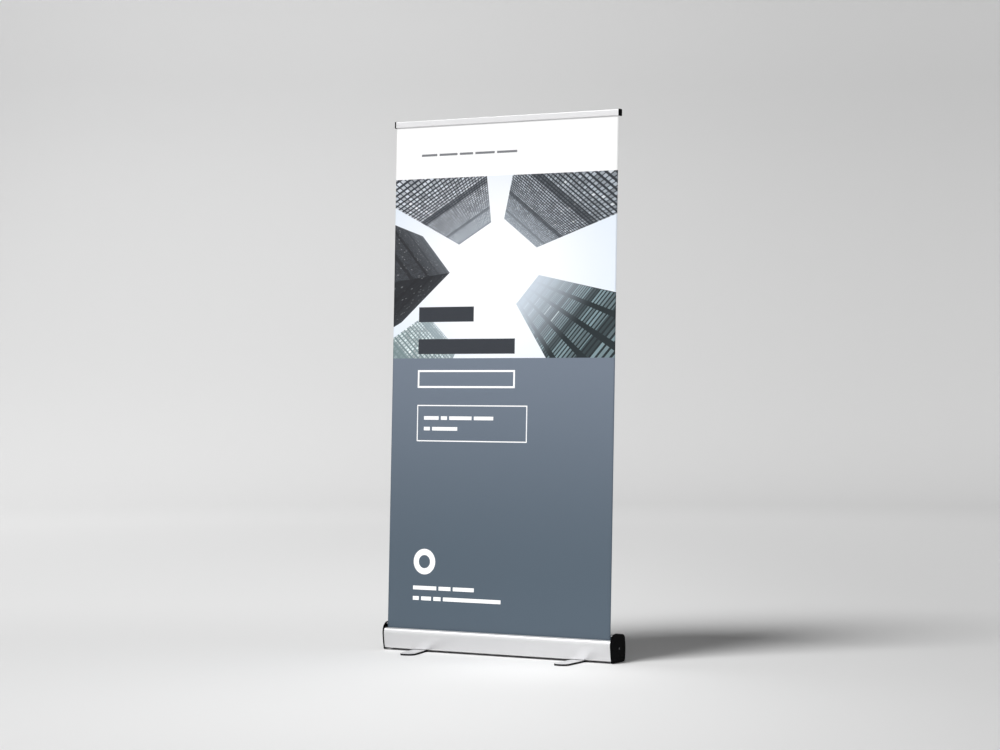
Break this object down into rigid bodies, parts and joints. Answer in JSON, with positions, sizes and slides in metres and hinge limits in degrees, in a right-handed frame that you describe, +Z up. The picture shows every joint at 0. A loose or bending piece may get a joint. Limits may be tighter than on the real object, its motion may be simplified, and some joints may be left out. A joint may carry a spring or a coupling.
{
  "type": "roll-up banner stand",
  "caption": "Free-standing roll-up banner stand: printed film pulled from a spring roller cassette, held by a top rail on a telescopic pole, with swing-out feet.",
  "frame": {"origin": "on the floor, in the middle of the box that the deployed stand fills", "axes": "+Z up, the printed side faces -Y, +X to the viewer's right"},
  "size_m": [1.0268, 0.3482, 2.0915],
  "materials": {
    "cassette_aluminium": "satin silver anodised extrusion",
    "pole_aluminium": "drawn tube, satin anodised",
    "roller_aluminium": "mill finish tube",
    "cap_plastic": "moulded black, polished",
    "black_plastic": "moulded black, fine texture",
    "white_nylon": "natural nylon",
    "zinc_steel": "zinc plated",
    "spring_steel": "oiled spring wire",
    "printed_film": "printed satin film with a pale grey back",
    "clamp_plastic": "grey extruded strip",
    "foot_silver": "silver powder coat",
    "foot_rubber": "moulded black rubber"
  },
  "bodies": {
    "root": {"cassette_body": "cassette_aluminium", "end_cap_left": "cap_plastic", "end_cap_right": "cap_plastic", "end_cap_screw_left": "zinc_steel", "end_cap_screw_right": "zinc_steel", "spindle_rod": "zinc_steel", "spring_anchor": "white_nylon", "torsion_spring": "spring_steel", "stub_bearing": "white_nylon", "banner_film": "printed_film", "pole_socket": "black_plastic", "pole_foot_plug": "black_plastic", "pole_tube_lower": "pole_aluminium", "guide_ring_lower": "white_nylon", "foot_pivot_bolt_left": "zinc_steel", "foot_pivot_bolt_right": "zinc_steel", "foot_washer_left": "white_nylon", "foot_washer_right": "white_nylon", "foot_nut_left": "zinc_steel", "foot_nut_right": "zinc_steel"},
    "roller": {"roller_tube": "roller_aluminium", "film_roll": "printed_film", "roller_plug_left": "white_nylon", "roller_plug_right": "white_nylon", "stub_axle": "zinc_steel"},
    "pole_middle": {"pole_tube_middle": "pole_aluminium", "guide_ring_middle": "white_nylon", "lock_plug_middle": "white_nylon"},
    "pole_upper": {"pole_tube_upper": "pole_aluminium", "lock_plug_upper": "white_nylon", "pole_hook": "black_plastic", "hook_rivet": "zinc_steel", "top_rail": "cassette_aluminium", "rail_cap_left": "cap_plastic", "rail_cap_right": "cap_plastic", "film_clamp_strip": "clamp_plastic"},
    "collar_lower": {"twist_collar_lower": "black_plastic"},
    "collar_middle": {"twist_collar_middle": "black_plastic"},
    "foot_left": {"foot_plate_left": "foot_silver", "foot_sole_left": "foot_rubber"},
    "foot_right": {"foot_plate_right": "foot_silver", "foot_sole_right": "foot_rubber"}
  },
  "joints": [
    {"name": "rail_height", "type": "slide", "parent": "pole_middle", "child": "pole_upper", "axis": [0, 0, 1], "range_m": [-0.62, 0], "deforming": ["banner_film"]},
    {"name": "middle_height", "type": "slide", "parent": "root", "child": "pole_middle", "axis": [0, 0, 1], "range_m": [-0.62, 0]},
    {"name": "roller_spin", "type": "hinge", "parent": "root", "child": "roller", "pos_m": [0, 0.00215, 0.046], "axis": [1, 0, 0], "range_deg": [0, 4061.8]},
    {"name": "twist_lower", "type": "hinge", "parent": "root", "child": "collar_lower", "pos_m": [0, 0.06196, 0.72], "axis": [0, 0, 1], "range_deg": [0, 90]},
    {"name": "twist_middle", "type": "hinge", "parent": "pole_middle", "child": "collar_middle", "pos_m": [0, 0.06196, 1.38], "axis": [0, 0, 1], "range_deg": [0, 90]},
    {"name": "swing_left", "type": "hinge", "parent": "root", "child": "foot_left", "pos_m": [-0.359, 0.02796, 0.004], "axis": [0, 0, 1], "range_deg": [-16, 77]},
    {"name": "swing_right", "type": "hinge", "parent": "root", "child": "foot_right", "pos_m": [0.359, 0.02796, 0.004], "axis": [0, 0, 1], "range_deg": [-93, 0]}
  ],
  "couplings": [
    {"joint": "middle_height", "follows": "rail_height", "ratio": 1},
    {"joint": "roller_spin", "follows": "rail_height", "rad_per_m": -114.29}
  ]
}
